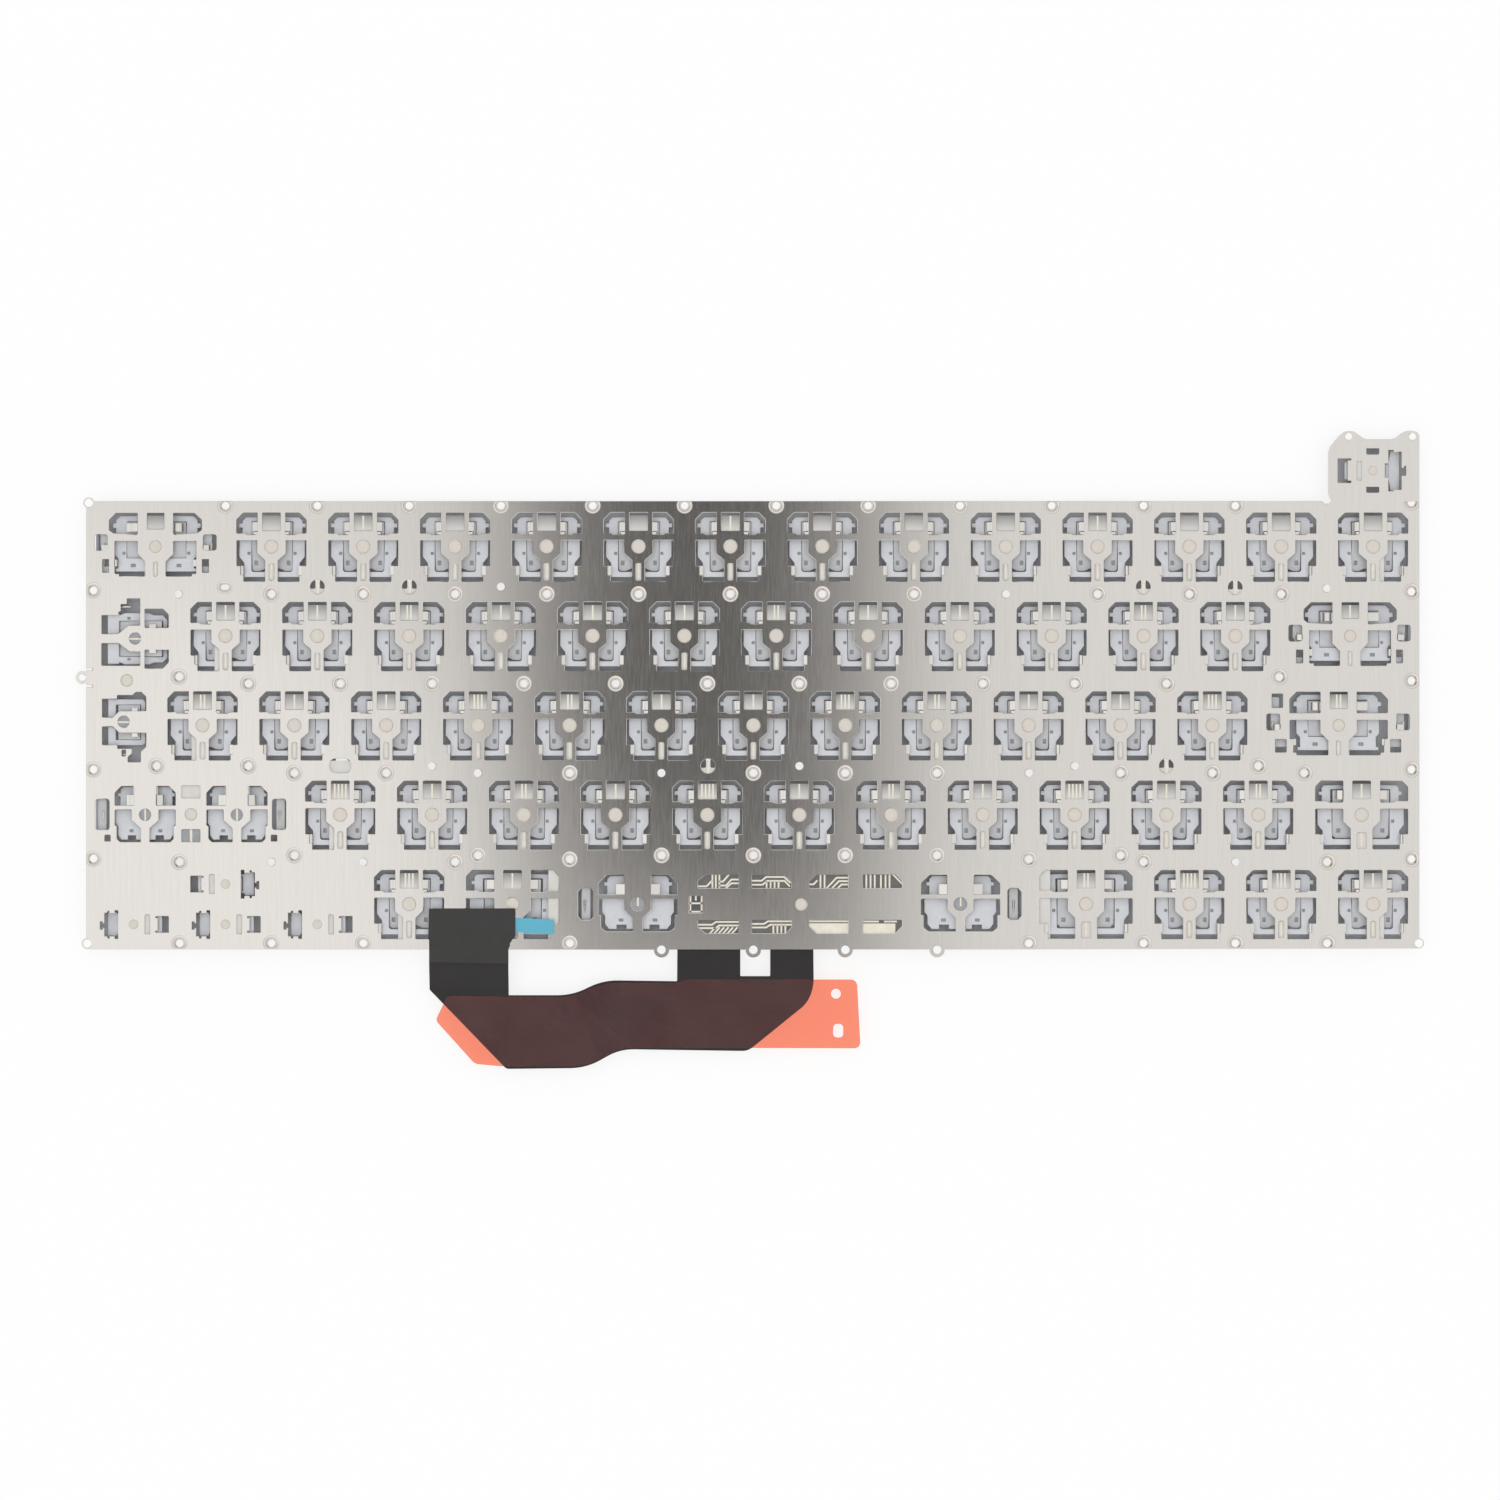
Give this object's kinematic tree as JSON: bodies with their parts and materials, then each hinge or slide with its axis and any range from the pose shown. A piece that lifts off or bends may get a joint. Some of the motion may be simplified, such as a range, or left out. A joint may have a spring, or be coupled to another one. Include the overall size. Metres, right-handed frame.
{
  "type": "laptop replacement keyboard",
  "caption": "Back of a laptop replacement keyboard: punched steel plate over scissor keys, with a forked flat ribbon cable and an orange release liner.",
  "frame": {"origin": "middle of the bounding box on the surface that the keycaps rest on", "axes": "+X right and +Y up as the steel back is looked at with the escape key at the upper right, +Z out of the back"},
  "size_m": [0.279, 0.1322, 0.0034],
  "materials": {
    "steel_plate": "fine brushed",
    "film": "translucent film with printed traces",
    "silicone": "soft matt",
    "frame_plastic": "satin",
    "spring_wire": "drawn wire",
    "cable_black": "satin film",
    "cover_black": "matt",
    "liner_orange": "translucent glossy film",
    "tape_blue": "matt tape",
    "keycap_black": "fine matt"
  },
  "bodies": {
    "keyboard_base": {"base_plate": "steel_plate", "cable_tail_cover": "cover_black", "marker_tape": "tape_blue", "membrane_circuit": "film", "other_keycaps": "keycap_black", "release_liner": "liner_orange", "ribbon_cable": "cable_black", "rubber_domes": "silicone", "scissor_inner_frames": "frame_plastic", "scissor_outer_frames": "frame_plastic", "stabiliser_bars": "spring_wire"},
    "caps_lock_cap": {"caps_lock": "keycap_black"},
    "command_left_cap": {"command_left": "keycap_black"},
    "command_right_cap": {"command_right": "keycap_black"},
    "control_cap": {"control": "keycap_black"},
    "delete_cap": {"delete": "keycap_black"},
    "esc_cap": {"esc": "keycap_black"},
    "fn_cap": {"fn": "keycap_black"},
    "key_0_cap": {"key_0": "keycap_black"},
    "key_1_cap": {"key_1": "keycap_black"},
    "key_2_cap": {"key_2": "keycap_black"},
    "key_3_cap": {"key_3": "keycap_black"},
    "key_4_cap": {"key_4": "keycap_black"},
    "key_5_cap": {"key_5": "keycap_black"},
    "key_6_cap": {"key_6": "keycap_black"},
    "key_7_cap": {"key_7": "keycap_black"},
    "key_8_cap": {"key_8": "keycap_black"},
    "key_9_cap": {"key_9": "keycap_black"},
    "key_a_cap": {"key_a": "keycap_black"},
    "key_b_cap": {"key_b": "keycap_black"},
    "key_c_cap": {"key_c": "keycap_black"},
    "key_d_cap": {"key_d": "keycap_black"},
    "key_e_cap": {"key_e": "keycap_black"},
    "key_f_cap": {"key_f": "keycap_black"},
    "key_g_cap": {"key_g": "keycap_black"},
    "key_h_cap": {"key_h": "keycap_black"},
    "key_i_cap": {"key_i": "keycap_black"},
    "key_j_cap": {"key_j": "keycap_black"},
    "key_k_cap": {"key_k": "keycap_black"},
    "key_l_cap": {"key_l": "keycap_black"},
    "key_m_cap": {"key_m": "keycap_black"},
    "key_n_cap": {"key_n": "keycap_black"},
    "key_o_cap": {"key_o": "keycap_black"},
    "key_p_cap": {"key_p": "keycap_black"},
    "key_q_cap": {"key_q": "keycap_black"},
    "key_r_cap": {"key_r": "keycap_black"},
    "key_s_cap": {"key_s": "keycap_black"},
    "key_t_cap": {"key_t": "keycap_black"},
    "key_u_cap": {"key_u": "keycap_black"},
    "key_v_cap": {"key_v": "keycap_black"},
    "key_w_cap": {"key_w": "keycap_black"},
    "key_x_cap": {"key_x": "keycap_black"},
    "key_y_cap": {"key_y": "keycap_black"},
    "key_z_cap": {"key_z": "keycap_black"},
    "option_left_cap": {"option_left": "keycap_black"},
    "return_cap": {"return": "keycap_black"},
    "shift_left_cap": {"shift_left": "keycap_black"},
    "shift_right_cap": {"shift_right": "keycap_black"},
    "space_cap": {"space": "keycap_black"},
    "tab_cap": {"tab": "keycap_black"}
  },
  "joints": [
    {"name": "caps_lock_press", "type": "slide", "parent": "keyboard_base", "child": "caps_lock_cap", "axis": [0, 0, 1], "range_m": [0, 0.001], "stiffness_N_per_m": 600, "deforming": ["scissor_outer_frames", "scissor_inner_frames", "rubber_domes", "stabiliser_bars"]},
    {"name": "command_left_press", "type": "slide", "parent": "keyboard_base", "child": "command_left_cap", "axis": [0, 0, 1], "range_m": [0, 0.001], "stiffness_N_per_m": 600, "deforming": ["scissor_outer_frames", "scissor_inner_frames", "rubber_domes", "stabiliser_bars"]},
    {"name": "command_right_press", "type": "slide", "parent": "keyboard_base", "child": "command_right_cap", "axis": [0, 0, 1], "range_m": [0, 0.001], "stiffness_N_per_m": 600, "deforming": ["scissor_outer_frames", "scissor_inner_frames", "rubber_domes", "stabiliser_bars"]},
    {"name": "control_press", "type": "slide", "parent": "keyboard_base", "child": "control_cap", "axis": [0, 0, 1], "range_m": [0, 0.001], "stiffness_N_per_m": 600, "deforming": ["scissor_outer_frames", "scissor_inner_frames", "rubber_domes", "stabiliser_bars"]},
    {"name": "delete_press", "type": "slide", "parent": "keyboard_base", "child": "delete_cap", "axis": [0, 0, 1], "range_m": [0, 0.001], "stiffness_N_per_m": 600, "deforming": ["scissor_outer_frames", "scissor_inner_frames", "rubber_domes", "stabiliser_bars"]},
    {"name": "esc_press", "type": "slide", "parent": "keyboard_base", "child": "esc_cap", "axis": [0, 0, 1], "range_m": [0, 0.001], "stiffness_N_per_m": 600, "deforming": ["scissor_outer_frames", "scissor_inner_frames", "rubber_domes", "stabiliser_bars"]},
    {"name": "fn_press", "type": "slide", "parent": "keyboard_base", "child": "fn_cap", "axis": [0, 0, 1], "range_m": [0, 0.001], "stiffness_N_per_m": 600, "deforming": ["scissor_outer_frames", "scissor_inner_frames", "rubber_domes", "stabiliser_bars"]},
    {"name": "key_0_press", "type": "slide", "parent": "keyboard_base", "child": "key_0_cap", "axis": [0, 0, 1], "range_m": [0, 0.001], "stiffness_N_per_m": 600, "deforming": ["scissor_outer_frames", "scissor_inner_frames", "rubber_domes", "stabiliser_bars"]},
    {"name": "key_1_press", "type": "slide", "parent": "keyboard_base", "child": "key_1_cap", "axis": [0, 0, 1], "range_m": [0, 0.001], "stiffness_N_per_m": 600, "deforming": ["scissor_outer_frames", "scissor_inner_frames", "rubber_domes", "stabiliser_bars"]},
    {"name": "key_2_press", "type": "slide", "parent": "keyboard_base", "child": "key_2_cap", "axis": [0, 0, 1], "range_m": [0, 0.001], "stiffness_N_per_m": 600, "deforming": ["scissor_outer_frames", "scissor_inner_frames", "rubber_domes", "stabiliser_bars"]},
    {"name": "key_3_press", "type": "slide", "parent": "keyboard_base", "child": "key_3_cap", "axis": [0, 0, 1], "range_m": [0, 0.001], "stiffness_N_per_m": 600, "deforming": ["scissor_outer_frames", "scissor_inner_frames", "rubber_domes", "stabiliser_bars"]},
    {"name": "key_4_press", "type": "slide", "parent": "keyboard_base", "child": "key_4_cap", "axis": [0, 0, 1], "range_m": [0, 0.001], "stiffness_N_per_m": 600, "deforming": ["scissor_outer_frames", "scissor_inner_frames", "rubber_domes", "stabiliser_bars"]},
    {"name": "key_5_press", "type": "slide", "parent": "keyboard_base", "child": "key_5_cap", "axis": [0, 0, 1], "range_m": [0, 0.001], "stiffness_N_per_m": 600, "deforming": ["scissor_outer_frames", "scissor_inner_frames", "rubber_domes", "stabiliser_bars"]},
    {"name": "key_6_press", "type": "slide", "parent": "keyboard_base", "child": "key_6_cap", "axis": [0, 0, 1], "range_m": [0, 0.001], "stiffness_N_per_m": 600, "deforming": ["scissor_outer_frames", "scissor_inner_frames", "rubber_domes", "stabiliser_bars"]},
    {"name": "key_7_press", "type": "slide", "parent": "keyboard_base", "child": "key_7_cap", "axis": [0, 0, 1], "range_m": [0, 0.001], "stiffness_N_per_m": 600, "deforming": ["scissor_outer_frames", "scissor_inner_frames", "rubber_domes", "stabiliser_bars"]},
    {"name": "key_8_press", "type": "slide", "parent": "keyboard_base", "child": "key_8_cap", "axis": [0, 0, 1], "range_m": [0, 0.001], "stiffness_N_per_m": 600, "deforming": ["scissor_outer_frames", "scissor_inner_frames", "rubber_domes", "stabiliser_bars"]},
    {"name": "key_9_press", "type": "slide", "parent": "keyboard_base", "child": "key_9_cap", "axis": [0, 0, 1], "range_m": [0, 0.001], "stiffness_N_per_m": 600, "deforming": ["scissor_outer_frames", "scissor_inner_frames", "rubber_domes", "stabiliser_bars"]},
    {"name": "key_a_press", "type": "slide", "parent": "keyboard_base", "child": "key_a_cap", "axis": [0, 0, 1], "range_m": [0, 0.001], "stiffness_N_per_m": 600, "deforming": ["scissor_outer_frames", "scissor_inner_frames", "rubber_domes", "stabiliser_bars"]},
    {"name": "key_b_press", "type": "slide", "parent": "keyboard_base", "child": "key_b_cap", "axis": [0, 0, 1], "range_m": [0, 0.001], "stiffness_N_per_m": 600, "deforming": ["scissor_outer_frames", "scissor_inner_frames", "rubber_domes", "stabiliser_bars"]},
    {"name": "key_c_press", "type": "slide", "parent": "keyboard_base", "child": "key_c_cap", "axis": [0, 0, 1], "range_m": [0, 0.001], "stiffness_N_per_m": 600, "deforming": ["scissor_outer_frames", "scissor_inner_frames", "rubber_domes", "stabiliser_bars"]},
    {"name": "key_d_press", "type": "slide", "parent": "keyboard_base", "child": "key_d_cap", "axis": [0, 0, 1], "range_m": [0, 0.001], "stiffness_N_per_m": 600, "deforming": ["scissor_outer_frames", "scissor_inner_frames", "rubber_domes", "stabiliser_bars"]},
    {"name": "key_e_press", "type": "slide", "parent": "keyboard_base", "child": "key_e_cap", "axis": [0, 0, 1], "range_m": [0, 0.001], "stiffness_N_per_m": 600, "deforming": ["scissor_outer_frames", "scissor_inner_frames", "rubber_domes", "stabiliser_bars"]},
    {"name": "key_f_press", "type": "slide", "parent": "keyboard_base", "child": "key_f_cap", "axis": [0, 0, 1], "range_m": [0, 0.001], "stiffness_N_per_m": 600, "deforming": ["scissor_outer_frames", "scissor_inner_frames", "rubber_domes", "stabiliser_bars"]},
    {"name": "key_g_press", "type": "slide", "parent": "keyboard_base", "child": "key_g_cap", "axis": [0, 0, 1], "range_m": [0, 0.001], "stiffness_N_per_m": 600, "deforming": ["scissor_outer_frames", "scissor_inner_frames", "rubber_domes", "stabiliser_bars"]},
    {"name": "key_h_press", "type": "slide", "parent": "keyboard_base", "child": "key_h_cap", "axis": [0, 0, 1], "range_m": [0, 0.001], "stiffness_N_per_m": 600, "deforming": ["scissor_outer_frames", "scissor_inner_frames", "rubber_domes", "stabiliser_bars"]},
    {"name": "key_i_press", "type": "slide", "parent": "keyboard_base", "child": "key_i_cap", "axis": [0, 0, 1], "range_m": [0, 0.001], "stiffness_N_per_m": 600, "deforming": ["scissor_outer_frames", "scissor_inner_frames", "rubber_domes", "stabiliser_bars"]},
    {"name": "key_j_press", "type": "slide", "parent": "keyboard_base", "child": "key_j_cap", "axis": [0, 0, 1], "range_m": [0, 0.001], "stiffness_N_per_m": 600, "deforming": ["scissor_outer_frames", "scissor_inner_frames", "rubber_domes", "stabiliser_bars"]},
    {"name": "key_k_press", "type": "slide", "parent": "keyboard_base", "child": "key_k_cap", "axis": [0, 0, 1], "range_m": [0, 0.001], "stiffness_N_per_m": 600, "deforming": ["scissor_outer_frames", "scissor_inner_frames", "rubber_domes", "stabiliser_bars"]},
    {"name": "key_l_press", "type": "slide", "parent": "keyboard_base", "child": "key_l_cap", "axis": [0, 0, 1], "range_m": [0, 0.001], "stiffness_N_per_m": 600, "deforming": ["scissor_outer_frames", "scissor_inner_frames", "rubber_domes", "stabiliser_bars"]},
    {"name": "key_m_press", "type": "slide", "parent": "keyboard_base", "child": "key_m_cap", "axis": [0, 0, 1], "range_m": [0, 0.001], "stiffness_N_per_m": 600, "deforming": ["scissor_outer_frames", "scissor_inner_frames", "rubber_domes", "stabiliser_bars"]},
    {"name": "key_n_press", "type": "slide", "parent": "keyboard_base", "child": "key_n_cap", "axis": [0, 0, 1], "range_m": [0, 0.001], "stiffness_N_per_m": 600, "deforming": ["scissor_outer_frames", "scissor_inner_frames", "rubber_domes", "stabiliser_bars"]},
    {"name": "key_o_press", "type": "slide", "parent": "keyboard_base", "child": "key_o_cap", "axis": [0, 0, 1], "range_m": [0, 0.001], "stiffness_N_per_m": 600, "deforming": ["scissor_outer_frames", "scissor_inner_frames", "rubber_domes", "stabiliser_bars"]},
    {"name": "key_p_press", "type": "slide", "parent": "keyboard_base", "child": "key_p_cap", "axis": [0, 0, 1], "range_m": [0, 0.001], "stiffness_N_per_m": 600, "deforming": ["scissor_outer_frames", "scissor_inner_frames", "rubber_domes", "stabiliser_bars"]},
    {"name": "key_q_press", "type": "slide", "parent": "keyboard_base", "child": "key_q_cap", "axis": [0, 0, 1], "range_m": [0, 0.001], "stiffness_N_per_m": 600, "deforming": ["scissor_outer_frames", "scissor_inner_frames", "rubber_domes", "stabiliser_bars"]},
    {"name": "key_r_press", "type": "slide", "parent": "keyboard_base", "child": "key_r_cap", "axis": [0, 0, 1], "range_m": [0, 0.001], "stiffness_N_per_m": 600, "deforming": ["scissor_outer_frames", "scissor_inner_frames", "rubber_domes", "stabiliser_bars"]},
    {"name": "key_s_press", "type": "slide", "parent": "keyboard_base", "child": "key_s_cap", "axis": [0, 0, 1], "range_m": [0, 0.001], "stiffness_N_per_m": 600, "deforming": ["scissor_outer_frames", "scissor_inner_frames", "rubber_domes", "stabiliser_bars"]},
    {"name": "key_t_press", "type": "slide", "parent": "keyboard_base", "child": "key_t_cap", "axis": [0, 0, 1], "range_m": [0, 0.001], "stiffness_N_per_m": 600, "deforming": ["scissor_outer_frames", "scissor_inner_frames", "rubber_domes", "stabiliser_bars"]},
    {"name": "key_u_press", "type": "slide", "parent": "keyboard_base", "child": "key_u_cap", "axis": [0, 0, 1], "range_m": [0, 0.001], "stiffness_N_per_m": 600, "deforming": ["scissor_outer_frames", "scissor_inner_frames", "rubber_domes", "stabiliser_bars"]},
    {"name": "key_v_press", "type": "slide", "parent": "keyboard_base", "child": "key_v_cap", "axis": [0, 0, 1], "range_m": [0, 0.001], "stiffness_N_per_m": 600, "deforming": ["scissor_outer_frames", "scissor_inner_frames", "rubber_domes", "stabiliser_bars"]},
    {"name": "key_w_press", "type": "slide", "parent": "keyboard_base", "child": "key_w_cap", "axis": [0, 0, 1], "range_m": [0, 0.001], "stiffness_N_per_m": 600, "deforming": ["scissor_outer_frames", "scissor_inner_frames", "rubber_domes", "stabiliser_bars"]},
    {"name": "key_x_press", "type": "slide", "parent": "keyboard_base", "child": "key_x_cap", "axis": [0, 0, 1], "range_m": [0, 0.001], "stiffness_N_per_m": 600, "deforming": ["scissor_outer_frames", "scissor_inner_frames", "rubber_domes", "stabiliser_bars"]},
    {"name": "key_y_press", "type": "slide", "parent": "keyboard_base", "child": "key_y_cap", "axis": [0, 0, 1], "range_m": [0, 0.001], "stiffness_N_per_m": 600, "deforming": ["scissor_outer_frames", "scissor_inner_frames", "rubber_domes", "stabiliser_bars"]},
    {"name": "key_z_press", "type": "slide", "parent": "keyboard_base", "child": "key_z_cap", "axis": [0, 0, 1], "range_m": [0, 0.001], "stiffness_N_per_m": 600, "deforming": ["scissor_outer_frames", "scissor_inner_frames", "rubber_domes", "stabiliser_bars"]},
    {"name": "option_left_press", "type": "slide", "parent": "keyboard_base", "child": "option_left_cap", "axis": [0, 0, 1], "range_m": [0, 0.001], "stiffness_N_per_m": 600, "deforming": ["scissor_outer_frames", "scissor_inner_frames", "rubber_domes", "stabiliser_bars"]},
    {"name": "return_press", "type": "slide", "parent": "keyboard_base", "child": "return_cap", "axis": [0, 0, 1], "range_m": [0, 0.001], "stiffness_N_per_m": 600, "deforming": ["scissor_outer_frames", "scissor_inner_frames", "rubber_domes", "stabiliser_bars"]},
    {"name": "shift_left_press", "type": "slide", "parent": "keyboard_base", "child": "shift_left_cap", "axis": [0, 0, 1], "range_m": [0, 0.001], "stiffness_N_per_m": 600, "deforming": ["scissor_outer_frames", "scissor_inner_frames", "rubber_domes", "stabiliser_bars"]},
    {"name": "shift_right_press", "type": "slide", "parent": "keyboard_base", "child": "shift_right_cap", "axis": [0, 0, 1], "range_m": [0, 0.001], "stiffness_N_per_m": 600, "deforming": ["scissor_outer_frames", "scissor_inner_frames", "rubber_domes", "stabiliser_bars"]},
    {"name": "space_press", "type": "slide", "parent": "keyboard_base", "child": "space_cap", "axis": [0, 0, 1], "range_m": [0, 0.001], "stiffness_N_per_m": 600, "deforming": ["scissor_outer_frames", "scissor_inner_frames", "rubber_domes", "stabiliser_bars"]},
    {"name": "tab_press", "type": "slide", "parent": "keyboard_base", "child": "tab_cap", "axis": [0, 0, 1], "range_m": [0, 0.001], "stiffness_N_per_m": 600, "deforming": ["scissor_outer_frames", "scissor_inner_frames", "rubber_domes", "stabiliser_bars"]}
  ]
}
